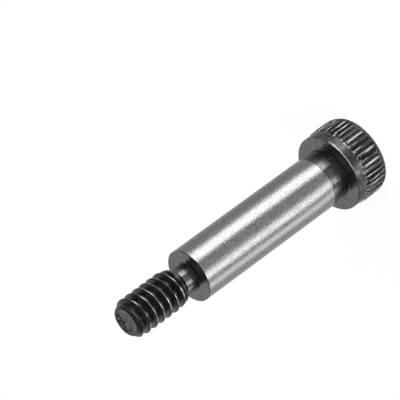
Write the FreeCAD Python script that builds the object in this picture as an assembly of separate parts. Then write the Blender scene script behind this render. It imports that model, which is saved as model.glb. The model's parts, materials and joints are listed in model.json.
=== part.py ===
import FreeCAD, Part
import math
import os

# Shoulder bolt turned and ground from one bar: knurled head with a hexagon socket, a ground
# shoulder that things pivot on, and a reduced thread beyond it.
# Millimetres. The bolt stands on its head: the socket face lies on z = 0, the axis is Z, and +Z
# runs to the end of the thread.

INCH = 25.4

# Head: the knurl stands out past the plain band beside the underside
KNURL_DIAMETER = 0.375 * INCH
BAND_DIAMETER = 9.22
HEAD_HEIGHT = 4.60
FACE_CHAMFER_RADIAL = 0.20
FACE_CHAMFER_HEIGHT = 0.10
CROWN_DROP = 0.20
CROWN_HEIGHT = 0.85
RIM_BREAK = 0.13

# Knurl: straight flat-floored grooves that stop short of the head's underside. Plain band and
# crest slope end are measured from the underside, and the depth from the band's surface.
GROOVE_COUNT = 45
GROOVE_START_ANGLE = -90.0
GROOVE_DEPTH = 0.15
GROOVE_FLOOR_WIDTH = 0.26
GROOVE_TOP_WIDTH = 0.42
PLAIN_BAND = 1.24
GROOVE_RUN_OUT = 0.10
CREST_SLOPE_END = 1.30
CREST_SLOPE_LENGTH = 0.44

# Hexagon socket with a drilled cone below it
SOCKET_ACROSS_FLATS = 0.125 * INCH
SOCKET_DEPTH = 2.60
SOCKET_MOUTH_DIAMETER = 3.86
DRILL_POINT_ANGLE = 118.0

# Neck under the head
HEAD_NECK_DIAMETER = 5.95
HEAD_NECK_WIDTH = 2.32
HEAD_FILLET = 0.16

# Ground shoulder, measured from the head's underside
SHOULDER_DIAMETER = 6.30
SHOULDER_LENGTH = 0.875 * INCH
SHOULDER_START_BREAK = 0.05
SHOULDER_END_BREAK = 0.06

# Neck between the shoulder and the thread
THREAD_NECK_DIAMETER = 3.20
THREAD_NECK_WIDTH = 2.08
THREAD_NECK_FILLET = 0.20

# Thread: number 10, 24 turns to the inch, right-hand. It starts at less than its full diameter
# and reaches that over its first turn. The tip is turned down and rounded.
THREAD_DIAMETER = 4.64
THREAD_PITCH = INCH / 24
THREAD_LENGTH = 0.375 * INCH
THREAD_FLANK_ANGLE = 30.0
THREAD_ROOT_FLAT = THREAD_PITCH / 4
THREAD_CREST_FLAT = THREAD_PITCH / 8
THREAD_START_DIAMETER = 4.06
THREAD_RISE_LENGTH = 1.15
THREAD_GROOVE_OFFSET = 0.40
TIP_DIAMETER = 3.76
TIP_ROUND = 0.12
TIP_TAPER_LENGTH = 0.76
FIRST_CREST_FROM_TIP = 0.48
FIRST_CREST_ANGLE = 180.0

# Where the turned faces close on themselves, clear of the thread groove's start
SEAM_ANGLE = 235.0

# Heights worked out from the sizes above
NECK_END = HEAD_HEIGHT + HEAD_NECK_WIDTH
SHOULDER_END = HEAD_HEIGHT + SHOULDER_LENGTH
THREAD_START = SHOULDER_END + THREAD_NECK_WIDTH
TIP = SHOULDER_END + THREAD_LENGTH

AXIS = FreeCAD.Vector(0, 0, 1)
CENTRE = FreeCAD.Vector(0, 0, 0)
BEYOND = 0.6


def at(radius, height):
    """A point of the half profile, in the XZ plane."""
    return FreeCAD.Vector(radius, 0, height)


def inside_fillet(wall_radius, face_height, size):
    """The quarter arc from a flat face up into the wall of the neck above it: start, middle, end."""
    centre = at(wall_radius + size, face_height + size)
    bulge = size * math.sqrt(0.5)
    middle = centre + FreeCAD.Vector(-bulge, 0, -bulge)
    on_wall = at(wall_radius, face_height + size)
    on_face = at(wall_radius + size, face_height)
    return on_face, middle, on_wall


def crown():
    """The arc that eases the knurl in from the face's chamfer and ends upright: start, middle, end."""
    knurl = KNURL_DIAMETER / 2
    top = FACE_CHAMFER_HEIGHT + CROWN_HEIGHT
    radius = (CROWN_HEIGHT ** 2 + CROWN_DROP ** 2) / (2 * CROWN_DROP)
    half_swing = math.asin(CROWN_HEIGHT / radius) / 2
    middle = at(knurl - radius * (1 - math.cos(half_swing)), top - radius * math.sin(half_swing))
    return at(knurl - CROWN_DROP, FACE_CHAMFER_HEIGHT), middle, at(knurl, top)


def body_profile():
    """The closed half profile of the bolt before its grooves, socket and thread are cut."""
    crown_start, crown_middle, crown_end = crown()
    edges = line_chain([at(0, 0), at(crown_start.x - FACE_CHAMFER_RADIAL, 0), crown_start])
    edges.append(Part.Arc(crown_start, crown_middle, crown_end).toShape())

    band = BAND_DIAMETER / 2
    crest_slope_end = HEAD_HEIGHT - CREST_SLOPE_END
    neck = HEAD_NECK_DIAMETER / 2
    on_face, middle, on_wall = inside_fillet(neck, HEAD_HEIGHT, HEAD_FILLET)
    points = [
        crown_end,
        at(crown_end.x, crest_slope_end - CREST_SLOPE_LENGTH),
        at(band, crest_slope_end),
        at(band, HEAD_HEIGHT - RIM_BREAK),
        at(band - RIM_BREAK, HEAD_HEIGHT),
        on_face,
    ]
    edges += line_chain(points)
    edges.append(Part.Arc(on_face, middle, on_wall).toShape())

    shoulder = SHOULDER_DIAMETER / 2
    points = [
        on_wall,
        at(neck, NECK_END),
        at(shoulder - SHOULDER_START_BREAK, NECK_END),
        at(shoulder, NECK_END + SHOULDER_START_BREAK),
        at(shoulder, SHOULDER_END - SHOULDER_END_BREAK),
        at(shoulder - SHOULDER_END_BREAK, SHOULDER_END),
    ]

    neck = THREAD_NECK_DIAMETER / 2
    on_face, middle, on_wall = inside_fillet(neck, SHOULDER_END, THREAD_NECK_FILLET)
    points.append(on_face)
    edges += line_chain(points)
    edges.append(Part.Arc(on_face, middle, on_wall).toShape())
    start = THREAD_START_DIAMETER / 2
    crest = THREAD_DIAMETER / 2
    tip = TIP_DIAMETER / 2
    points = [
        on_wall,
        at(neck, THREAD_START - (start - neck)),
        at(start, THREAD_START),
        at(crest, THREAD_START + THREAD_RISE_LENGTH),
        at(crest, TIP - TIP_TAPER_LENGTH),
        at(tip, TIP - TIP_ROUND),
    ]
    edges += line_chain(points)
    bulge = TIP_ROUND * math.sqrt(0.5)
    middle = at(tip - TIP_ROUND + bulge, TIP - TIP_ROUND + bulge)
    on_end = at(tip - TIP_ROUND, TIP)
    edges.append(Part.Arc(points[-1], middle, on_end).toShape())
    edges += line_chain([on_end, at(0, TIP), at(0, 0)])
    return Part.Face(Part.Wire(edges))


def line_chain(points):
    """Straight edges that join the points in order."""
    pairs = zip(points[:-1], points[1:])
    return [Part.LineSegment(start, end).toShape() for start, end in pairs]


def prism(corners, direction):
    """A solid swept from a closed polygon along a vector."""
    outline = Part.makePolygon(corners + [corners[0]])
    return Part.Face(outline).extrude(direction)


def knurl_groove():
    """One groove cutter on the +X side: flared across its width, sloped where it stops."""
    radius = KNURL_DIAMETER / 2
    floor = BAND_DIAMETER / 2 - GROOVE_DEPTH
    outside = radius + BEYOND
    half_floor = GROOVE_FLOOR_WIDTH / 2
    flare = (GROOVE_TOP_WIDTH - GROOVE_FLOOR_WIDTH) / 2 / (radius - floor)
    half_outside = half_floor + flare * (outside - floor)
    groove_end = HEAD_HEIGHT - PLAIN_BAND
    slope = GROOVE_RUN_OUT / GROOVE_DEPTH
    section = prism(
        [
            FreeCAD.Vector(floor, -half_floor, -BEYOND),
            FreeCAD.Vector(outside, -half_outside, -BEYOND),
            FreeCAD.Vector(outside, half_outside, -BEYOND),
            FreeCAD.Vector(floor, half_floor, -BEYOND),
        ],
        FreeCAD.Vector(0, 0, HEAD_HEIGHT + BEYOND),
    )
    side = prism(
        [
            FreeCAD.Vector(floor, -radius, -BEYOND),
            FreeCAD.Vector(floor, -radius, groove_end - GROOVE_RUN_OUT),
            FreeCAD.Vector(outside, -radius, groove_end - GROOVE_RUN_OUT + slope * (outside - floor)),
            FreeCAD.Vector(outside, -radius, -BEYOND),
        ],
        FreeCAD.Vector(0, 2 * radius, 0),
    )
    return section.common(side)


def knurl_grooves():
    """All the groove cutters, evenly spaced from the start angle."""
    cutter = knurl_groove()
    step = 360.0 / GROOVE_COUNT
    cutters = []
    for index in range(GROOVE_COUNT):
        copy = cutter.copy()
        copy.rotate(CENTRE, AXIS, GROOVE_START_ANGLE + index * step)
        cutters.append(copy)
    return cutters


def hexagon_socket():
    """The hexagon, its drilled cone below and the chamfer at its mouth."""
    corner_radius = SOCKET_ACROSS_FLATS / math.sqrt(3)
    corners = []
    for index in range(6):
        angle = math.radians(60 * index)
        corners.append(FreeCAD.Vector(corner_radius * math.cos(angle), corner_radius * math.sin(angle), -BEYOND))
    hexagon = prism(corners, FreeCAD.Vector(0, 0, SOCKET_DEPTH + BEYOND))

    drill_radius = SOCKET_ACROSS_FLATS / 2
    point_height = drill_radius / math.tan(math.radians(DRILL_POINT_ANGLE / 2))
    point = Part.makeCone(drill_radius, 0, point_height, FreeCAD.Vector(0, 0, SOCKET_DEPTH), AXIS)

    mouth = SOCKET_MOUTH_DIAMETER / 2
    chamfer = Part.makeCone(mouth + BEYOND, 0, mouth + BEYOND, FreeCAD.Vector(0, 0, -BEYOND), AXIS)
    return [hexagon.fuse(point), chamfer]


def thread_groove():
    """The helical cutter between the turns. It starts beyond the thread's edge and runs out past the tip."""
    crest = THREAD_DIAMETER / 2
    slope = math.tan(math.radians(THREAD_FLANK_ANGLE))
    depth = (THREAD_PITCH - THREAD_CREST_FLAT - THREAD_ROOT_FLAT) / 2 / slope
    root = crest - depth
    clearance = THREAD_CREST_FLAT / 4 / slope
    outer = crest + clearance
    half_root = THREAD_ROOT_FLAT / 2
    half_outer = half_root + (outer - root) * slope

    groove_at_first_crest = TIP - FIRST_CREST_FROM_TIP + THREAD_PITCH / 2
    start = THREAD_START + THREAD_GROOVE_OFFSET
    turns = (groove_at_first_crest - start) / THREAD_PITCH
    corners = [
        at(root, start - half_root),
        at(outer, start - half_outer),
        at(outer, start + half_outer),
        at(root, start + half_root),
    ]
    profile = Part.makePolygon(corners + [corners[0]])
    helix = Part.makeHelix(THREAD_PITCH, (turns + 1) * THREAD_PITCH, root)
    helix.translate(FreeCAD.Vector(0, 0, start))
    cutter = Part.Wire(helix.Edges).makePipeShell([profile], True, True)
    cutter.rotate(CENTRE, AXIS, FIRST_CREST_ANGLE - 360 * turns)
    return cutter


def shoulder_bolt():
    """The whole bolt as one solid."""
    body = body_profile().revolve(CENTRE, AXIS, 360)
    body.rotate(CENTRE, AXIS, SEAM_ANGLE)
    body = body.cut(thread_groove())
    body = body.cut(knurl_grooves())
    body = body.cut(hexagon_socket())
    return body.Solids[0]


os.makedirs("parts", exist_ok=True)
bolt = shoulder_bolt()
bolt.exportStep("parts/shoulder_bolt.step")
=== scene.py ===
"""Looks of the shoulder bolt.

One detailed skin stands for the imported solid. Its finishes, the studio and the camera follow.
"""
import json
import math

import bpy
import numpy as np
from mathutils import Matrix, Vector, noise


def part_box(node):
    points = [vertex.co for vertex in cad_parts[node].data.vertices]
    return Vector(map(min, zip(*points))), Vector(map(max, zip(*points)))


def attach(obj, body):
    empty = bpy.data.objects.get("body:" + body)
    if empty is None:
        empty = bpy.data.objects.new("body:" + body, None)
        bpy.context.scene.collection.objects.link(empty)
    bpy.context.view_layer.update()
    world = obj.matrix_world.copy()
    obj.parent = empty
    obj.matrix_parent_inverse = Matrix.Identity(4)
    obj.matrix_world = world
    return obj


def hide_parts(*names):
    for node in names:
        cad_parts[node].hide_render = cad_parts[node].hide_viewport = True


MM = 0.001
TURN = 2 * math.pi

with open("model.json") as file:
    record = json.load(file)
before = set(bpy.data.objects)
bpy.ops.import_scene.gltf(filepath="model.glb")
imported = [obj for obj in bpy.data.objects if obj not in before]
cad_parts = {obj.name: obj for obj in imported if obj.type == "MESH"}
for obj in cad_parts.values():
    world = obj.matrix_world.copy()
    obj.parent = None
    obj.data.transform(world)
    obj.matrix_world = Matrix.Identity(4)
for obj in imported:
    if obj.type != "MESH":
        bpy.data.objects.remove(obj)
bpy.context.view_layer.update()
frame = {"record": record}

# Sizes in millimetres that the frame gives
low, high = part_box("shoulder_bolt")
mounts = {mount["name"]: mount for mount in frame["record"]["mounts"]}
KNURL_RADIUS = min(-low.x, -low.y, high.x, high.y) / MM
TIP = high.z / MM
HEAD_HEIGHT = mounts["head_underside"]["pos_m"][2] / MM
SHOULDER_END = mounts["shoulder_end"]["pos_m"][2] / MM
SHOULDER_RADIUS = mounts["shoulder"]["dims"]["r_mm"]

# Socket
SOCKET_HALF_FLATS = 3.175 / 2
SOCKET_DEPTH = 2.60
SOCKET_MOUTH_RADIUS = 1.93
SOCKET_POINT_DEPTH = 0.95

# Head
BAND_RADIUS = 4.61
FACE_CHAMFER_RADIAL = 0.20
FACE_CHAMFER_HEIGHT = 0.10
CROWN_DROP = 0.20
CROWN_HEIGHT = 0.85
FACE_EDGE_RADIUS = KNURL_RADIUS - CROWN_DROP - FACE_CHAMFER_RADIAL
FACE_RINGS = (SOCKET_MOUTH_RADIUS + 0.05, FACE_EDGE_RADIUS - 0.04)

# Knurl: a column's place is its angle from the middle of its groove, in degrees
GROOVE_COUNT = 45
GROOVE_START_ANGLE = -90.0
GROOVE_DEPTH = 0.15
GROOVE_HALF_FLOOR = 0.12
GROOVE_HALF_TOP = 0.21
GROOVE_FLOOR_ROUNDING = 0.04
GROOVE_END = HEAD_HEIGHT - 1.24
GROOVE_FADE_HEIGHT = 0.65
GROOVE_FADE_RISE = 0.10
GROOVE_COLUMNS = (-4.0, -3.3, -2.85, -2.5, -2.15, -1.75, -0.9, 0.0, 0.9, 1.75, 2.15, 2.5, 2.85, 3.3)
CREST_MIDDLE = 180 / GROOVE_COUNT
CREST_HALF_ANGLE = 1.5
CREST_SLOPE_END = HEAD_HEIGHT - 1.30
CREST_SLOPE_START = CREST_SLOPE_END - 0.44
CREST_ROUNDING = 0.04
CREST_SWELL = 0.025
CREST_SWELL_START = GROOVE_END - 0.2
CREST_FADE_END = GROOVE_END + 0.1

# Dents along the knurl's crests
DENT_DEPTH = 0.015
DENT_SCALE = 3.0
DENT_STRETCH = 0.7
DENT_GAIN = 1.4
DENT_BASE = 0.4

# Rim at the head's underside: share of its round edge, and how much of the rim's painted highlight it gets
# there
RIM_BREAK = 0.13
RIM_STEPS = ((0.0, 1.0), (0.2, 1.0), (0.4, 0.9), (0.6, 0.6), (0.8, 0.0), (1.0, 0.0))

# Rings up the head's side: heights near the face, then stretches with their number of rings
CROWN_RINGS = (0.0, 0.03, 0.07, FACE_CHAMFER_HEIGHT, 0.14, 0.22, 0.32, 0.45, 0.6, 0.78, 0.95)
SIDE_RINGS = (
    (1.1, CREST_SLOPE_START - 0.1, 10),
    (CREST_SLOPE_START, GROOVE_END + 0.04, 18),
    (GROOVE_END + 0.15, HEAD_HEIGHT - RIM_BREAK - 0.02, 5),
)

# Wear of the head, with painted shade in the grooves and on the crown, and painted highlights along one
# stretch of the crests and of the rim. A pair is where a change starts and where it is complete: heights for
# crown and chamfer, millimetres below the crest for edges and grooves, cosines of an angle for the stretches
# with a painted highlight.
CREST_WEAR = 0.5
# A painted highlight on the crests along one stretch round the head, added to their even wear
CREST_HIGHLIGHT = 0.5
CREST_HIGHLIGHT_ANGLE = math.radians(-15.0)
CREST_HIGHLIGHT_COSINES = (0.955, 0.99)
CREST_BARED = (-0.05, 0.02)
EDGE_STARTS = (0.0, 0.01)
EDGE_STOPS = (0.10, 0.05)
EDGE_DENTS = (0.2, 0.7)
# Painted shade on the groove floors, by depth below the crest
GROOVE_PAINTED_SHADE = (0.08, 0.22)
CROWN_WORN = (0.1, 1.2)
# Painted shade on the crown, darker towards the face
CROWN_PAINTED_SHADE = (1.0, 0.25)
CHAMFER_WEAR = 0.8
CHAMFER_WORN = (FACE_CHAMFER_HEIGHT, 0.04)
# Painted highlight along one stretch of the rim, carried as wear and highlight above 1; the rest of the rim
# keeps its least share
RIM_HIGHLIGHT = 2.0
RIM_HIGHLIGHT_LEAST = 0.08
RIM_HIGHLIGHT_ANGLE = math.radians(-80.0)
RIM_HIGHLIGHT_COSINES = (0.85, 0.95)

# Necks and shoulder. Swings are the degrees of the rings along a round corner, from straight out.
HEAD_NECK_RADIUS = 2.975
HEAD_NECK_END = HEAD_HEIGHT + 2.32
HEAD_FILLET = 0.16
HEAD_FILLET_MARGIN = 0.25
THREAD_NECK_RADIUS = 1.60
THREAD_NECK_FILLET = 0.20
THREAD_NECK_FILLET_MARGIN = 0.15
FILLET_SWINGS = (247, 225, 202, 180)
# Length along the neck over which the fillet's painted shade fades out
FILLET_SHADE_LENGTH = 0.2
NECK_CORNER_ROUND = 0.12
NECK_CORNER_SWINGS = (180, 150, 120, 90)
SHOULDER_START_BREAK = 0.05
SHOULDER_START_SWINGS = (-60, -30, 0)
SHOULDER_END_BREAK = 0.06
SHOULDER_RINGS = 8
TOOL_FEED = 0.26

# Thread
THREAD_START = SHOULDER_END + 2.08
THREAD_RADIUS = 2.32
THREAD_PITCH = 25.4 / 24
THREAD_CREST_HALF = THREAD_PITCH / 16
THREAD_SLOPE = math.tan(math.radians(60))
THREAD_ROOT_RADIUS = THREAD_RADIUS - (5 / 16) * THREAD_PITCH * THREAD_SLOPE
THREAD_START_RADIUS = 2.03
THREAD_LEAD_IN = THREAD_START - (THREAD_START_RADIUS - THREAD_NECK_RADIUS)
THREAD_RISE_LENGTH = 1.15
THREAD_FADE = (THREAD_START + 0.20, THREAD_START + 0.75)
FIRST_CREST = TIP - 0.48
FIRST_CREST_ANGLE = 180.0
THREAD_CREST_ROUNDING = 0.09
THREAD_ROOT_ROUNDING = 0.12
BLANK_ROUNDING = 0.05
PITCH_STEPS = (0.0, 0.035, 0.062, 0.09, 0.125, 0.18, 0.25, 0.32, 0.36, 0.395, 0.43, 0.48)

# Wear of the thread crests, by how far the flanks would rise above the blank, and painted shade in the roots,
# by radius
LAND_WORN = (-0.01, 0.05)
LAND_UNWORN = (0.22, 0.15)
ROOT_PAINTED_SHADE = (THREAD_ROOT_RADIUS + 0.25, THREAD_ROOT_RADIUS)

# Tip: places across its face are shares of its radius
TIP_RADIUS = 1.88
TIP_ROUND = 0.25
TIP_TAPER_LENGTH = 0.76
TIP_RINGS = (0.97, *np.linspace(0.92, 0.06, 22))
TIP_DISH = 0.06
TIP_DISHED = (0.86, 0.74)
# Painted shade towards the face's rounded edge
TIP_EDGE_PAINTED_SHADE = (0.88, 0.96)
TIP_GRAIN_DEPTH = 0.05
TIP_GRAIN_SCALE = 2.2
TIP_GRAIN_LAYER = 3.0
TIP_GRAINED = (1.0, 0.85)
TIP_CENTRE_DROP = 0.01

# Marks left where the tip was cut off, in millimetres: start and end across the face, width, depth
TIP_MARKS = (
    ((-0.47, 0.78), (0.44, 0.70), 0.19, 0.070),
    ((0.44, 0.70), (0.10, 0.36), 0.21, 0.080),
    ((0.56, 0.38), (1.20, 0.66), 0.16, 0.060),
    ((-1.08, 0.36), (-0.85, 0.58), 0.15, 0.050),
    ((0.47, 1.08), (0.78, 1.22), 0.13, 0.040),
    ((-0.76, 0.94), (-0.55, 1.14), 0.14, 0.045),
    ((-1.10, 0.02), (-0.72, 0.14), 0.13, 0.040),
)
MARK_FLAT_SHARE = 0.3
# Depth at which a mark's painted shade is full
MARK_SHADE_DEPTH = 0.05

# Points round each zone, and the bend in degrees past which shading shows an edge
NECK_COLUMNS = 240
THREAD_COLUMNS = 180
SHARP_ANGLE = 38


def smooth_min(first, second, size):
    """The smaller of two values, rounded where they meet."""
    overlap = np.maximum(size - np.abs(first - second), 0) / size
    return np.minimum(first, second) - overlap * overlap * size / 4


def smooth_max(first, second, size):
    """The larger of two values, rounded where they meet."""
    return -smooth_min(-np.asarray(first), -np.asarray(second), size)


def smooth_step(start, end, value):
    """0 up to start, 1 from end on, smooth between. End may also lie below start."""
    share = np.clip((value - start) / (end - start), 0, 1)
    return share * share * (3 - 2 * share)


def even_angles(count):
    """Angles of a ring, anticlockwise from +X."""
    return np.arange(count) * TURN / count


class Skin:
    """The closed skin of a turned body, built ring by ring along its profile."""

    def __init__(self, materials):
        self.materials = materials
        self.slots = {material.name: slot for slot, material in enumerate(materials)}
        self.points = []
        self.wear_and_highlight = []
        self.painted_shade = []
        self.faces = []
        self.face_slots = []

    def point(self, radius, angle, height, wear_and_highlight=0.0, painted_shade=0.0):
        """Adds one point and returns its number.

        Wear and highlight is 0 where the finish is whole, about 1 where metal shows through wear or a crest
        has its painted highlight, and 2 on the rim's painted highlight. Painted shade is 1 where a groove or
        a corner is painted darkest.
        """
        self.points.append((radius * math.cos(angle) * MM, radius * math.sin(angle) * MM, height * MM))
        self.wear_and_highlight.append(float(wear_and_highlight))
        self.painted_shade.append(float(painted_shade))
        return len(self.points) - 1

    def ring(self, angles, radii, heights, wear_and_highlight=0.0, painted_shade=0.0):
        """Adds a ring of points. Each value after the angles is one number or one for each angle."""
        values = [np.broadcast_to(value, len(angles)) for value in (radii, angles, heights, wear_and_highlight, painted_shade)]
        numbers = [self.point(*point) for point in zip(*values)]
        return list(angles), numbers

    def hub(self, angles, height):
        """A ring that has all its points in one, on the axis."""
        return list(angles), [self.point(0, 0, height)] * len(angles)

    def grow(self, before, finish, angles, radii, heights, wear_and_highlight=0.0, painted_shade=0.0):
        """Adds a ring and fills between the one before and it."""
        ring = self.ring(angles, radii, heights, wear_and_highlight, painted_shade)
        self.join(before, ring, finish)
        return ring

    def face(self, corners, finish):
        """Adds one face, without the corners that repeat."""
        kept = [corner for index, corner in enumerate(corners) if corner != corners[index - 1]]
        if len(kept) > 2:
            self.faces.append(kept)
            self.face_slots.append(self.slots[finish])

    def join(self, before, after, finish):
        """Fills between two rings: squares where they match, triangles where they don't."""
        first_angles, first = before
        second_angles, second = after
        if len(first) == len(second):
            for index in range(len(first)):
                following = (index + 1) % len(first)
                self.face([first[index], first[following], second[following], second[index]], finish)
            return
        self.zip_rings(first_angles, first, second_angles, second, finish)

    def zip_rings(self, first_angles, first, second_angles, second, finish):
        """Triangles between two rings of different counts, walking round both by angle."""
        i = 0
        j = 0
        while i < len(first) or j < len(second):
            next_first = first_angles[(i + 1) % len(first)] + TURN * ((i + 1) // len(first))
            next_second = second_angles[(j + 1) % len(second)] + TURN * ((j + 1) // len(second))
            here = first[i % len(first)]
            there = second[j % len(second)]
            if j >= len(second) or (i < len(first) and next_first <= next_second):
                self.face([here, first[(i + 1) % len(first)], there], finish)
                i += 1
            else:
                self.face([here, second[(j + 1) % len(second)], there], finish)
                j += 1

    def object(self, name):
        """The finished Blender object."""
        mesh = bpy.data.meshes.new(name)
        mesh.from_pydata(self.points, [], self.faces)
        for material in self.materials:
            mesh.materials.append(material)
        mesh.polygons.foreach_set("material_index", self.face_slots)
        for kind, values in (("wear_and_highlight", self.wear_and_highlight), ("painted_shade", self.painted_shade)):
            mesh.attributes.new(kind, "FLOAT", "POINT").data.foreach_set("value", values)
        mesh.update()
        mesh.shade_smooth()
        mesh.set_sharp_from_angle(angle=math.radians(SHARP_ANGLE))
        made = bpy.data.objects.new(name, mesh)
        bpy.context.scene.collection.objects.link(made)
        return made


def add_socket(skin):
    """The drilled point, the hexagon's floor and walls, and the chamfer at its mouth."""
    angles = even_angles(NECK_COLUMNS)
    hexagon = SOCKET_HALF_FLATS / np.cos(np.mod(angles, TURN / 6) - TURN / 12)
    profile = (
        (SOCKET_HALF_FLATS, SOCKET_DEPTH),
        (hexagon, SOCKET_DEPTH),
        (hexagon, SOCKET_MOUTH_RADIUS - hexagon),
        (SOCKET_MOUTH_RADIUS, 0.0),
    )
    before = skin.hub(angles, SOCKET_DEPTH + SOCKET_POINT_DEPTH)
    for radii, heights in profile:
        before = skin.grow(before, "turned_face", angles, radii, heights)
    return before


def add_face(skin, before):
    """The flat outer face, from the socket's mouth to its edge."""
    for radius in FACE_RINGS:
        before = skin.grow(before, "turned_face", even_angles(NECK_COLUMNS), radius, 0.0)
    return before


def head_side_radius(height):
    """The head's outline before the knurl: face chamfer, crown, straight crests and the plain band."""
    if height <= FACE_CHAMFER_HEIGHT:
        share = height / FACE_CHAMFER_HEIGHT
        return KNURL_RADIUS - CROWN_DROP - FACE_CHAMFER_RADIAL * (1 - share)
    crown_top = FACE_CHAMFER_HEIGHT + CROWN_HEIGHT
    if height < crown_top:
        arc = (CROWN_HEIGHT**2 + CROWN_DROP**2) / (2 * CROWN_DROP)
        return KNURL_RADIUS - arc + math.sqrt(arc**2 - (crown_top - height) ** 2)
    slope = smooth_step(CREST_SLOPE_START, CREST_SLOPE_END, height)
    return KNURL_RADIUS + (BAND_RADIUS - KNURL_RADIUS) * float(slope)


def crest_drop(columns, height):
    """How far a crest falls off from its middle to its edges."""
    away = np.clip((CREST_MIDDLE - np.abs(columns)) / CREST_HALF_ANGLE, 0, 1)
    return CREST_SWELL * away * away * smooth_step(CREST_FADE_END, CREST_SWELL_START, height)


def groove_radius(columns, height):
    """Distance from the axis to a groove's surface, which rises to its sides and at its two ends."""
    across = np.radians(columns) * KNURL_RADIUS
    past = max(height - (GROOVE_END - GROOVE_HALF_TOP), 0.0)
    distance = np.hypot(across, past)
    floor = BAND_RADIUS - GROOVE_DEPTH
    slope = (KNURL_RADIUS - floor) / (GROOVE_HALF_TOP - GROOVE_HALF_FLOOR)
    fade = GROOVE_FADE_RISE * smooth_step(GROOVE_FADE_HEIGHT, FACE_CHAMFER_HEIGHT, height)
    return floor + fade + smooth_max((distance - GROOVE_HALF_FLOOR) * slope, 0.0, GROOVE_FLOOR_ROUNDING)


def crest_dent(angle, height):
    """Small dents along the knurl's crests, from 0 to 1."""
    place = Vector((math.cos(angle) * KNURL_RADIUS, math.sin(angle) * KNURL_RADIUS, height * DENT_STRETCH))
    return min(max(noise.noise(place * DENT_SCALE) * DENT_GAIN + DENT_BASE, 0.0), 1.0)


def head_heights():
    """Heights of the rings up the head's side, close together where its form changes."""
    heights = list(CROWN_RINGS)
    for stretch in SIDE_RINGS:
        heights.extend(np.linspace(*stretch))
    return heights


def knurl_columns():
    """Angles of the points round the knurl, and the place of each across its groove."""
    middles = GROOVE_START_ANGLE + np.arange(GROOVE_COUNT) * 360 / GROOVE_COUNT
    angles = np.mod(np.radians(np.add.outer(middles, GROOVE_COLUMNS).ravel()), TURN)
    order = np.argsort(angles)
    return angles[order], np.tile(GROOVE_COLUMNS, GROOVE_COUNT)[order]


def highlight_side(angles, middle, cosines):
    """1 round the middle of a stretch that gets a painted highlight and 0 away from it, by the cosine of the
    angle between.
    """
    return smooth_step(*cosines, np.cos(angles - middle))


def add_knurl(skin, before, angles, columns):
    """The head's side: chamfer, crown, grooves with rounded and dented crests, and the plain band."""
    # Crests wear evenly all round and get a painted highlight along one stretch
    crest_wear_and_highlight = CREST_WEAR + CREST_HIGHLIGHT * highlight_side(angles, CREST_HIGHLIGHT_ANGLE, CREST_HIGHLIGHT_COSINES)
    finish = "turned_face"
    for height in head_heights():
        body = head_side_radius(height) - crest_drop(columns, height)
        groove = groove_radius(columns, height)
        radii = smooth_min(body, groove, CREST_ROUNDING)
        depth = body - radii
        crest = smooth_step(*CREST_BARED, groove - body) * smooth_step(CREST_FADE_END, GROOVE_END, height)
        dents = np.array([crest_dent(angle, height) for angle in angles])
        edge = smooth_step(*EDGE_STARTS, depth) * smooth_step(*EDGE_STOPS, depth)
        edge = edge * smooth_step(*EDGE_DENTS, dents)
        chamfer = smooth_step(*CHAMFER_WORN, height)
        wear_and_highlight = (crest_wear_and_highlight * crest + edge) * smooth_step(*CROWN_WORN, height) + CHAMFER_WEAR * chamfer
        # Painted shade in the grooves and on the crown
        dark = np.maximum(smooth_step(*GROOVE_PAINTED_SHADE, depth), smooth_step(*CROWN_PAINTED_SHADE, height))
        radii = np.minimum(radii, body) - DENT_DEPTH * dents * crest
        before = skin.grow(before, finish, angles, radii, height, wear_and_highlight, dark * (1 - chamfer))
        finish = "knurled_oxide"
    return before


def add_rim(skin, before, angles):
    """The round edge between the plain band and the underside, with a painted highlight along one stretch."""
    bright = RIM_HIGHLIGHT_LEAST + (1 - RIM_HIGHLIGHT_LEAST) * highlight_side(angles, RIM_HIGHLIGHT_ANGLE, RIM_HIGHLIGHT_COSINES)
    for share, wear_and_highlight in RIM_STEPS:
        swing = share * math.pi / 2
        radius = BAND_RADIUS - RIM_BREAK * (1 - math.cos(swing))
        height = HEAD_HEIGHT - RIM_BREAK * (1 - math.sin(swing))
        before = skin.grow(before, "knurled_oxide", angles, radius, height, RIM_HIGHLIGHT * wear_and_highlight * bright)
    return before


def add_round(skin, before, angles, centre, size, swings, finish, painted_shade=0.0):
    """Rings along a round corner. Its centre is a radius and a height."""
    for swing in swings:
        turn = math.radians(swing)
        radius = centre[0] + size * math.cos(turn)
        height = centre[1] + size * math.sin(turn)
        before = skin.grow(before, finish, angles, radius, height, 0.0, painted_shade)
    return before


def add_neck_root(skin, before, angles, radius, height, fillet, margin):
    """A flat ring, the fillet at its inner edge darkened by painted shade, and the first stretch of the neck.
    """
    centre = (radius + fillet, height + fillet)
    before = skin.grow(before, "turned_face", angles, centre[0] + margin, height)
    # Painted shade from the ring's inner edge through the fillet
    before = skin.grow(before, "turned_face", angles, centre[0], height, painted_shade=1.0)
    before = add_round(skin, before, angles, centre, fillet, FILLET_SWINGS, "turned_neck", 1.0)
    return skin.grow(before, "turned_neck", angles, radius, centre[1] + FILLET_SHADE_LENGTH)


def add_head_neck(skin, before, angles):
    """The underside's inner part and the neck up to the shoulder."""
    root = (HEAD_NECK_RADIUS, HEAD_HEIGHT, HEAD_FILLET, HEAD_FILLET_MARGIN)
    before = add_neck_root(skin, before, angles, *root)
    corner = (HEAD_NECK_RADIUS + NECK_CORNER_ROUND, HEAD_NECK_END - NECK_CORNER_ROUND)
    before = add_round(skin, before, angles, corner, NECK_CORNER_ROUND, NECK_CORNER_SWINGS, "turned_neck")
    return skin.grow(before, "turned_neck", angles, SHOULDER_RADIUS - SHOULDER_START_BREAK, HEAD_NECK_END)


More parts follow.
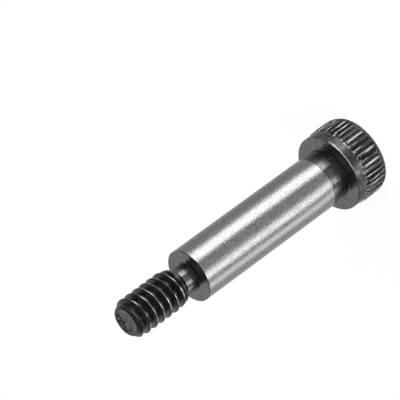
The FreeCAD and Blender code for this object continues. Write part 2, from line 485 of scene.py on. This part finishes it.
def add_shoulder(skin, before, angles):
    """The ground cylinder with a small break at each end."""
    start = HEAD_NECK_END + SHOULDER_START_BREAK
    corner = (SHOULDER_RADIUS - SHOULDER_START_BREAK, start)
    before = add_round(
        skin, before, angles, corner, SHOULDER_START_BREAK, SHOULDER_START_SWINGS, "ground_steel"
    )
    for height in np.linspace(start, SHOULDER_END - SHOULDER_END_BREAK, SHOULDER_RINGS + 1)[1:]:
        before = skin.grow(before, "ground_steel", angles, SHOULDER_RADIUS, height)
    return skin.grow(before, "turned_face", angles, SHOULDER_RADIUS - SHOULDER_END_BREAK, SHOULDER_END)


def add_thread_neck(skin, before, angles):
    """The shoulder's end face and the neck up to the thread."""
    root = (THREAD_NECK_RADIUS, SHOULDER_END, THREAD_NECK_FILLET, THREAD_NECK_FILLET_MARGIN)
    before = add_neck_root(skin, before, angles, *root)
    return skin.grow(before, "turned_neck", angles, THREAD_NECK_RADIUS, THREAD_LEAD_IN)


def helix_rise(angles):
    """How far the thread has climbed at an angle, from the one where its first crest is placed."""
    return THREAD_PITCH * (angles / TURN - FIRST_CREST_ANGLE / 360)


def flank_radius(angles, heights):
    """Distance from the axis to the thread's flanks, which meet above its flat crest."""
    crest = FIRST_CREST + helix_rise(angles)
    along = np.abs(np.mod(heights - crest + THREAD_PITCH / 2, THREAD_PITCH) - THREAD_PITCH / 2)
    return THREAD_RADIUS - (along - THREAD_CREST_HALF) * THREAD_SLOPE


def blank_radius(heights):
    """The turned blank that the thread is cut in: edge, rise to full size, taper and rounded tip."""
    places = (
        THREAD_LEAD_IN,
        THREAD_START,
        THREAD_START + THREAD_RISE_LENGTH,
        TIP - TIP_TAPER_LENGTH,
        TIP - TIP_ROUND,
    )
    radii = (THREAD_NECK_RADIUS, THREAD_START_RADIUS, THREAD_RADIUS, THREAD_RADIUS, TIP_RADIUS)
    blank = np.interp(heights, places, radii)
    past = np.clip(heights - (TIP - TIP_ROUND), 0, TIP_ROUND)
    return blank - TIP_ROUND + np.sqrt(TIP_ROUND**2 - past**2)


def thread_radius(angles, heights):
    """Distance from the axis to the thread, which is cut in the blank and fades at its start."""
    fade = 1 - smooth_step(*THREAD_FADE, heights)
    root = THREAD_ROOT_RADIUS + (THREAD_RADIUS - THREAD_ROOT_RADIUS) * fade
    radius = smooth_min(flank_radius(angles, heights), THREAD_RADIUS, THREAD_CREST_ROUNDING)
    radius = smooth_max(radius, root, THREAD_ROOT_ROUNDING)
    return smooth_min(radius, blank_radius(heights), BLANK_ROUNDING)


def thread_line(skin, angles, heights, start, end):
    """One line of points along the helix. Past the thread's ends it runs along their level rings."""
    radii = thread_radius(angles, heights)
    land = flank_radius(angles, heights) - blank_radius(heights)
    wear_and_highlight = smooth_step(*LAND_WORN, land) * smooth_step(*LAND_UNWORN, land)
    # Painted shade in the thread's roots
    painted_shade = smooth_step(*ROOT_PAINTED_SHADE, radii)
    line = []
    for column, height in enumerate(heights):
        if height <= THREAD_LEAD_IN:
            line.append(start[1][column])
        elif height >= TIP:
            line.append(end[1][column])
        else:
            line.append(skin.point(radii[column], angles[column], height, wear_and_highlight[column], painted_shade[column]))
    return line


def join_lines(skin, lines, per_turn):
    """Fills between the lines along the helix. The end of each meets the start of the one a turn on."""
    for row in range(len(lines) - 1 - per_turn):
        lower = [*lines[row], lines[row + per_turn][0]]
        upper = [*lines[row + 1], lines[row + 1 + per_turn][0]]
        for column in range(THREAD_COLUMNS):
            corners = [lower[column], lower[column + 1], upper[column + 1], upper[column]]
            skin.face(corners, "thread_oxide")


def add_thread(skin, start, angles):
    """The thread between two level rings, at the neck and at the tip. Returns the second and its radii."""
    end_radii = thread_radius(angles, np.full(len(angles), TIP))
    end = skin.ring(angles, end_radii, TIP)
    steps = [*PITCH_STEPS, THREAD_PITCH / 2, *(THREAD_PITCH - step for step in PITCH_STEPS[:0:-1])]
    turns = math.ceil((TIP - THREAD_LEAD_IN) / THREAD_PITCH) + 2
    first = FIRST_CREST - (turns - 1) * THREAD_PITCH
    lines = []
    for turn in range(turns + 1):
        for step in steps:
            heights = first + turn * THREAD_PITCH + step + helix_rise(angles)
            lines.append(thread_line(skin, angles, heights, start, end))
    join_lines(skin, lines, len(steps))
    return end, end_radii


def mark_depth(x, y):
    """How far the cut-off marks sink a point of the tip face."""
    depth = 0.0
    place = Vector((x, y))
    for start, end, width, deepest in TIP_MARKS:
        line = Vector(end) - Vector(start)
        share = min(max((place - Vector(start)).dot(line) / line.length_squared, 0.0), 1.0)
        distance = (place - Vector(start) - share * line).length
        depth = max(depth, deepest * (1 - smooth_step(MARK_FLAT_SHARE * width, width, distance)))
    return depth


def tip_point(radius, angle, share):
    """Height of one point of the tip face, and the painted shade its marks get, by their depth."""
    x = radius * math.cos(angle)
    y = radius * math.sin(angle)
    mark = mark_depth(x, y)
    place = Vector((x * TIP_GRAIN_SCALE, y * TIP_GRAIN_SCALE, TIP_GRAIN_LAYER))
    grain = max(noise.noise(place), 0.0) * TIP_GRAIN_DEPTH * float(smooth_step(*TIP_GRAINED, share))
    dish = TIP_DISH * float(smooth_step(*TIP_DISHED, share))
    return TIP - dish - mark - grain, min(mark / MARK_SHADE_DEPTH, 1.0)


def add_tip(skin, before, angles, radii):
    """The flat end, with the shallow marks left where it was cut off."""
    for share in TIP_RINGS:
        points = [tip_point(radius, angle, share) for radius, angle in zip(radii * share, angles)]
        heights, mark_shade = zip(*points)
        # Painted shade in the marks and towards the face's edge
        painted_shade = np.maximum(mark_shade, smooth_step(*TIP_EDGE_PAINTED_SHADE, share))
        before = skin.grow(before, "cut_tip", angles, radii * share, heights, 0.0, painted_shade)
    skin.join(before, skin.hub(angles, TIP - TIP_CENTRE_DROP), "cut_tip")


# Turns brushed gloss so that it spreads along the axis
QUARTER_TURN = 0.25


class Finish:
    """One material's nodes, with short calls for the ones that it is built from."""

    def __init__(self, name, **sockets):
        self.material = bpy.data.materials.new(name)
        self.material.use_nodes = True
        self.tree = self.material.node_tree
        self.shader = self.tree.nodes["Principled BSDF"]
        self.set(self.shader, **sockets)

    def fill(self, socket, value):
        """Links a socket to a node's output, or sets it to a value."""
        if isinstance(value, bpy.types.NodeSocket):
            self.tree.links.new(value, socket)
        else:
            socket.default_value = value

    def set(self, node, **sockets):
        """Fills sockets by name, with _ for a space."""
        for name, value in sockets.items():
            self.fill(node.inputs[name.replace("_", " ")], value)

    def node(self, kind, output, sockets=None, **settings):
        """Adds a node and returns one of its outputs."""
        added = self.tree.nodes.new(kind)
        for name, value in settings.items():
            setattr(added, name, value)
        self.set(added, **(sockets or {}))
        return added.outputs[output]

    def maths(self, operation, first, second=0.0):
        """One Math node."""
        added = self.tree.nodes.new("ShaderNodeMath")
        added.operation = operation
        self.fill(added.inputs[0], first)
        self.fill(added.inputs[1], second)
        return added.outputs[0]

    def add(self, first, second):
        """The sum of two values."""
        return self.maths("ADD", first, second)

    def times(self, first, second):
        """The product of two values."""
        return self.maths("MULTIPLY", first, second)

    def axes(self, coordinates="Object"):
        """The x, y and z of a place on the object, or of a direction for the world."""
        split = self.tree.nodes.new("ShaderNodeSeparateXYZ")
        self.fill(split.inputs[0], self.node("ShaderNodeTexCoord", coordinates))
        return split.outputs

    def place(self, scale, along=None):
        """Plain coordinates, scaled per millimetre, with a scale of their own along the axis if given."""
        scales = (scale / MM, scale / MM, (along or scale) / MM)
        sockets = {"Vector": self.node("ShaderNodeTexCoord", "Object"), "Scale": scales}
        return self.node("ShaderNodeMapping", "Vector", sockets)

    def turned_place(self, across, along):
        """Coordinates that change fast along the turned profile and slowly round it."""
        x, y, z = self.axes()
        square = self.add(self.times(x, x), self.times(y, y))
        profile = self.maths("SUBTRACT", z, self.maths("SQRT", square))
        sockets = {
            "X": self.times(x, across / MM),
            "Y": self.times(y, across / MM),
            "Z": self.times(profile, along / MM),
        }
        return self.node("ShaderNodeCombineXYZ", "Vector", sockets)

    def noise(self, place, detail=2.0, roughness=0.5):
        """A noise value from 0 to 1."""
        sockets = {"Vector": place, "Scale": 1.0, "Detail": detail, "Roughness": roughness}
        return self.node("ShaderNodeTexNoise", "Fac", sockets)

    def span(self, value, to, over=(0.3, 0.7)):
        """Maps a value that goes over one range to another range, smoothly and held at both ends."""
        sockets = {"Value": value, "From_Min": over[0], "From_Max": over[1], "To_Min": to[0], "To_Max": to[1]}
        return self.node("ShaderNodeMapRange", "Result", sockets, interpolation_type="SMOOTHSTEP")

    def blend(self, share, first, second):
        """A number between two others."""
        sockets = {"Factor": share, "A": first, "B": second}
        return self.node("ShaderNodeMix", "Result", sockets, data_type="FLOAT")

    def carried(self, name):
        """A value that the mesh carries: wear and highlight, or painted shade."""
        return self.node("ShaderNodeAttribute", "Fac", attribute_name=name)

    def paint_shade(self, tone, dark):
        """The given tone, and the dark one where the mesh carries painted shade."""
        return self.blend(self.carried("painted_shade"), tone, dark)

    def look(self, tone, tint, roughness):
        """Sets the colour, by its brightness and its tint, and the roughness."""
        red, green, blue = (self.times(tone, part) for part in tint)
        colour = self.node("ShaderNodeCombineColor", "Color", {"Red": red, "Green": green, "Blue": blue})
        self.set(self.shader, Base_Color=colour, Roughness=roughness)

    def bump(self, height, strength, depth):
        """Bends the surface by a height from 0 to 1. Depth is in millimetres."""
        sockets = {"Height": height, "Strength": strength, "Distance": depth * MM}
        self.set(self.shader, Normal=self.node("ShaderNodeBump", "Normal", sockets))

    def brush_round(self, amount):
        """Gloss that spreads across marks running round the axis."""
        tangent = self.node("ShaderNodeTangent", "Tangent", direction_type="RADIAL", axis="Z")
        self.set(self.shader, Tangent=tangent, Anisotropic=amount, Anisotropic_Rotation=QUARTER_TURN)


def ground_steel():
    """Bright ground cylinder with fine ragged marks round it."""
    finish = Finish("ground_steel", Metallic=1.0)
    grain = finish.noise(finish.turned_place(across=2.2, along=9.0), detail=3.0, roughness=0.7)
    speckle = finish.noise(finish.turned_place(across=3.6, along=7.5), detail=3.0, roughness=0.7)
    bright = finish.span(grain, to=(0.50, 0.60))
    spots = finish.span(speckle, to=(-0.14, 0.14), over=(0.35, 0.65))
    roughness = finish.span(grain, to=(0.11, 0.20), over=(0.25, 0.75))
    finish.look(finish.add(bright, spots), tint=(1.0, 0.975, 0.978), roughness=roughness)
    finish.brush_round(amount=0.5)
    finish.bump(finish.add(grain, speckle), strength=0.9, depth=0.016)
    return finish.material


def turned_face():
    """Blackened flat faces with faint rings left by the tool and thin cloudy stains."""
    finish = Finish("turned_face", Metallic=0.93)
    rings = finish.noise(finish.turned_place(across=0.25, along=11.0))
    clouds = finish.noise(finish.place(scale=1.3), detail=5.0, roughness=0.65)
    tone = finish.add(finish.span(clouds, to=(0.095, 0.15)), finish.span(rings, to=(-0.01, 0.01)))
    finish.look(tone, tint=(1.0, 0.945, 0.965), roughness=finish.span(clouds, to=(0.10, 0.16)))
    finish.bump(rings, strength=0.2, depth=0.002)
    return finish.material


def turned_neck():
    """Blackened necks, with painted shade in the fillets at their roots. The tool's feed left fine turns,
    which glint where they catch the light.
    """
    finish = Finish("turned_neck", Metallic=0.97)
    uneven = finish.noise(finish.turned_place(across=0.5, along=1.6), roughness=0.6)
    along = finish.add(finish.times(finish.axes()[2], TURN / (TOOL_FEED * MM)), uneven)
    turns = finish.span(finish.maths("SINE", along), to=(0.0, 1.0), over=(-0.6, 1.0))
    clouds = finish.noise(finish.place(scale=1.4), detail=3.0)
    turned = finish.blend(turns, first=0.22, second=0.38)
    # Painted shade in the fillets
    tone = finish.paint_shade(finish.add(turned, finish.span(clouds, to=(-0.03, 0.05))), dark=0.07)
    finish.look(tone, tint=(1.0, 0.965, 0.945), roughness=finish.span(uneven, to=(0.09, 0.15)))
    finish.brush_round(amount=0.6)
    finish.bump(turns, strength=0.8, depth=0.006)
    return finish.material


def knurled_oxide():
    """Blackened side of the head: painted shade on the groove floors and the crown, worn crests and edges,
    painted highlights along one stretch of the crests and of the rim, a cloudy plain band.
    """
    finish = Finish("knurled_oxide", Metallic=0.88)
    clouds = finish.noise(finish.place(scale=1.6), detail=4.0, roughness=0.6)
    streaks = finish.noise(finish.place(scale=6.0, along=0.35), roughness=0.6)
    scuffs = finish.noise(finish.place(scale=4.0), detail=3.0, roughness=0.65)
    band_start = ((GROOVE_END - 0.15) * MM, (GROOVE_END + 0.05) * MM)
    on_band = finish.span(finish.axes()[2], to=(0.0, 1.0), over=band_start)
    grain = finish.blend(on_band, streaks, scuffs)
    wear_and_highlight = finish.carried("wear_and_highlight")
    plain = finish.span(clouds, to=(0.075, 0.175), over=(0.32, 0.68))
    worn = finish.span(grain, to=(0.06, 0.95), over=(0.47, 0.62))
    # The rim's painted highlight: a bright tone where wear and highlight pass 1.2
    rim_highlight = finish.span(clouds, to=(0.70, 1.0), over=(0.35, 0.55))
    tone = finish.paint_shade(finish.blend(wear_and_highlight, plain, worn), dark=0.08)
    tone = finish.times(tone, finish.span(grain, to=(0.7, 1.3), over=(0.35, 0.65)))
    tone = finish.blend(finish.span(wear_and_highlight, to=(0.0, 1.0), over=(1.2, 1.8)), tone, rim_highlight)
    finish.look(tone, tint=(1.0, 0.95, 0.962), roughness=finish.span(grain, to=(0.16, 0.28)))
    finish.bump(grain, strength=0.5, depth=0.012)
    return finish.material


def thread_oxide():
    """Blackened thread with brighter worn crests and painted shade in the roots."""
    finish = Finish("thread_oxide", Metallic=0.88)
    clouds = finish.noise(finish.place(scale=1.8), detail=3.0)
    lines = finish.noise(finish.turned_place(across=0.7, along=9.0), detail=3.0, roughness=0.6)
    wear_and_highlight = finish.carried("wear_and_highlight")
    plain = finish.span(clouds, to=(0.045, 0.08))
    worn = finish.span(lines, to=(0.07, 0.72), over=(0.40, 0.62))
    tone = finish.paint_shade(finish.blend(wear_and_highlight, plain, worn), dark=0.035)
    roughness = finish.blend(wear_and_highlight, first=finish.span(clouds, to=(0.13, 0.21)), second=0.08)
    finish.look(tone, tint=(1.0, 0.93, 0.955), roughness=roughness)
    finish.bump(lines, strength=0.5, depth=0.010)
    return finish.material


def cut_tip():
    """The rough dark end face, with painted shade in the marks where it was cut off and towards its edge."""
    finish = Finish("cut_tip", Metallic=0.8)
    clouds = finish.noise(finish.place(scale=2.6), detail=5.0, roughness=0.7)
    tone = finish.paint_shade(finish.span(clouds, to=(0.025, 0.095), over=(0.34, 0.64)), dark=0.012)
    finish.look(tone, tint=(1.0, 0.90, 0.93), roughness=finish.span(clouds, to=(0.17, 0.30)))
    finish.bump(clouds, strength=0.6, depth=0.04)
    return finish.material


def add_bolt():
    """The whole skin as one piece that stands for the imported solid."""
    skin = Skin((ground_steel(), turned_face(), turned_neck(), knurled_oxide(), thread_oxide(), cut_tip()))
    before = add_face(skin, add_socket(skin))
    angles, columns = knurl_columns()
    before = add_knurl(skin, before, angles, columns)
    before = add_rim(skin, before, angles)
    angles = even_angles(NECK_COLUMNS)
    before = add_head_neck(skin, before, angles)
    before = add_shoulder(skin, before, angles)
    angles = even_angles(THREAD_COLUMNS)
    before = add_thread_neck(skin, before, angles)
    end, end_radii = add_thread(skin, before, angles)
    add_tip(skin, end, angles, end_radii)
    bolt = skin.object("shoulder_bolt_body")
    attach(bolt, "root")
    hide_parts("shoulder_bolt")


# Studio: azimuths in degrees from the camera's side (-Y) towards +X, as the polished parts see it.
# The low panels lie below the horizon, where upright sides reflect. Each rises between its first two
# azimuths to its strength, the last number, and falls between the next two. Above the horizon the
# back is white and lights what faces up, and the front is dark but for a glow just above the horizon.
CAMERA_WHITE = 1.0
SOFT_LIGHT = 0.62
LOW_BASE = 0.28
LOW_PANELS = {
    "key": (27.0, 34.0, 60.0, 79.0, 1.58),
    "key glow": (40.0, 70.0, 70.0, 112.0, 0.12),
    "front": (-26.0, -8.0, 8.0, 20.0, 0.06),
    "fill": (-59.0, -49.0, -42.0, -13.0, 1.40),
    "side": (-110.0, -88.0, -84.0, -69.0, 0.68),
    "left wall": (-181.0, -180.0, -66.0, -56.0, 0.13),
    "back right": (120.0, 176.0, 190.0, 191.0, 0.24),
    "back left": (-191.0, -190.0, -186.0, -126.0, 0.10),
}
HORIZON = (-8.0, 14.0)
HIGH_LIGHT = (0.08, 1.0)
HIGH_LIGHT_Y = (0.15, 0.85)
FRONT_GLOW = (0.25, 0.0)
FRONT_GLOW_Y = (-0.80, -0.45)

# Lamps: azimuth and elevation in degrees, distance, width and height in metres, power in watts
LAMPS = {
    "key_lamp": (48.0, 42.0, 0.60, 0.44, 0.70, 3.0),
    "fill_lamp": (-46.0, 40.0, 0.60, 0.26, 0.60, 1.2),
}

# Floor, in metres
FLOOR_HALF = 3.0
FLOOR_DROP = 0.00001
FLOOR_GREY = 0.9
FLOOR_ROUGHNESS = 0.9
FLOOR_GLOW = 0.93
WHITE = (1.0, 1.0, 1.0, 1.0)


class Sky(Finish):
    """The world's nodes."""

    def __init__(self):
        self.world = bpy.data.worlds.new("studio")
        self.world.use_nodes = True
        self.tree = self.world.node_tree
        self.shader = self.tree.nodes["Background"]
        bpy.context.scene.world = self.world
        self.world.cycles.sampling_method = "NONE"


def low_light(sky, azimuth):
    """The light from below the horizon: all the panels added up."""
    total = LOW_BASE
    for rise_start, rise_end, fall_start, fall_end, strength in LOW_PANELS.values():
        rise = sky.span(azimuth, to=(0.0, strength), over=(rise_start, rise_end))
        fall = sky.span(azimuth, to=(1.0, 0.0), over=(fall_start, fall_end))
        total = sky.add(sky.times(rise, fall), total)
    return total


def add_world():
    """White to the camera, soft and even to matt things, and upright panels in what shines."""
    sky = Sky()
    x, y, z = sky.axes("Generated")
    forward = sky.times(y, -1.0)
    azimuth = sky.maths("DEGREES", sky.maths("ARCTAN2", x, forward))
    elevation = sky.maths("DEGREES", sky.maths("ARCSINE", z))
    back_light = sky.span(y, to=HIGH_LIGHT, over=HIGH_LIGHT_Y)
    high_light = sky.add(back_light, sky.span(y, to=FRONT_GLOW, over=FRONT_GLOW_Y))
    above = sky.span(elevation, to=(0.0, 1.0), over=HORIZON)
    reflected = sky.blend(above, low_light(sky, azimuth), high_light)
    glossy = sky.node("ShaderNodeLightPath", "Is Glossy Ray")
    seen = sky.node("ShaderNodeLightPath", "Is Camera Ray")
    strength = sky.blend(seen, sky.blend(glossy, SOFT_LIGHT, reflected), CAMERA_WHITE)
    sky.set(sky.shader, Color=WHITE, Strength=strength)


def add_lamps():
    """Soft boxes above the floor, on the same sides as the key and the fill panels."""
    for name, (azimuth, elevation, distance, width, height, power) in LAMPS.items():
        data = bpy.data.lights.new(name, "AREA")
        data.shape = "RECTANGLE"
        data.size = width
        data.size_y = height
        data.energy = power
        lamp = bpy.data.objects.new(name, data)
        side = math.radians(azimuth)
        lift = math.radians(elevation)
        away = Vector((math.sin(side) * math.cos(lift), -math.cos(side) * math.cos(lift), math.sin(lift)))
        lamp.location = away * distance
        lamp.rotation_euler = (-away).to_track_quat("-Z", "Y").to_euler()
        lamp.visible_camera = False
        lamp.visible_glossy = False
        bpy.context.scene.collection.objects.link(lamp)


def floor_material():
    """Matt white that the camera sees as nearly pure white, with a faint shadow of the object."""
    colour = (FLOOR_GREY, FLOOR_GREY, FLOOR_GREY, 1.0)
    finish = Finish("floor", Base_Color=colour, Roughness=FLOOR_ROUGHNESS, Specular_IOR_Level=0.0)
    glow = finish.node("ShaderNodeEmission", "Emission", {"Color": WHITE, "Strength": 1.0})
    seen = finish.node("ShaderNodeLightPath", "Is Camera Ray")
    mixed = finish.tree.nodes.new("ShaderNodeMixShader")
    finish.fill(mixed.inputs[0], finish.times(seen, FLOOR_GLOW))
    finish.fill(mixed.inputs[1], finish.shader.outputs[0])
    finish.fill(mixed.inputs[2], glow)
    finish.set(finish.tree.nodes["Material Output"], Surface=mixed.outputs[0])
    return finish.material


def add_floor():
    """A plain white floor."""
    corners = [(x * FLOOR_HALF, y * FLOOR_HALF, -FLOOR_DROP) for x, y in ((-1, -1), (1, -1), (1, 1), (-1, 1))]
    mesh = bpy.data.meshes.new("floor")
    mesh.from_pydata(corners, [], [(0, 1, 2, 3)])
    mesh.materials.append(floor_material())
    floor = bpy.data.objects.new("floor", mesh)
    floor.visible_glossy = False
    bpy.context.scene.collection.objects.link(floor)


# Camera: it looks along +Y and down, rolled about its own axis. Angles in degrees, places in metres,
# lens and sensor in millimetres.
CAMERA_ELEVATION = 31.178
CAMERA_ROLL = 125.642
CAMERA_DISTANCE = 0.34790
CAMERA_AIM = (0.0059503, 0.0009268, 0.0195317)
CAMERA_CLIP = (0.01, 20.0)
CAMERA_LENS = 287.87
SENSOR_WIDTH = 36.0


def add_camera():
    """The photograph's view."""
    data = bpy.data.cameras.new("camera")
    data.lens = CAMERA_LENS
    data.sensor_width = SENSOR_WIDTH
    data.clip_start, data.clip_end = CAMERA_CLIP
    camera = bpy.data.objects.new("camera", data)
    tilt = math.radians(CAMERA_ELEVATION)
    roll = math.radians(CAMERA_ROLL)
    forward = Vector((0.0, math.cos(tilt), -math.sin(tilt)))
    level_up = Vector((0.0, math.sin(tilt), math.cos(tilt)))
    up = math.cos(roll) * level_up + math.sin(roll) * Vector((1.0, 0.0, 0.0))
    right = forward.cross(up)
    turn = Matrix((right, up, -forward)).transposed()
    place = Vector(CAMERA_AIM) - forward * CAMERA_DISTANCE
    camera.matrix_world = Matrix.Translation(place) @ turn.to_4x4()
    bpy.context.scene.collection.objects.link(camera)
    bpy.context.scene.camera = camera


bpy.context.scene.view_settings.view_transform = "Standard"
add_bolt()
add_floor()
add_world()
add_lamps()
add_camera()
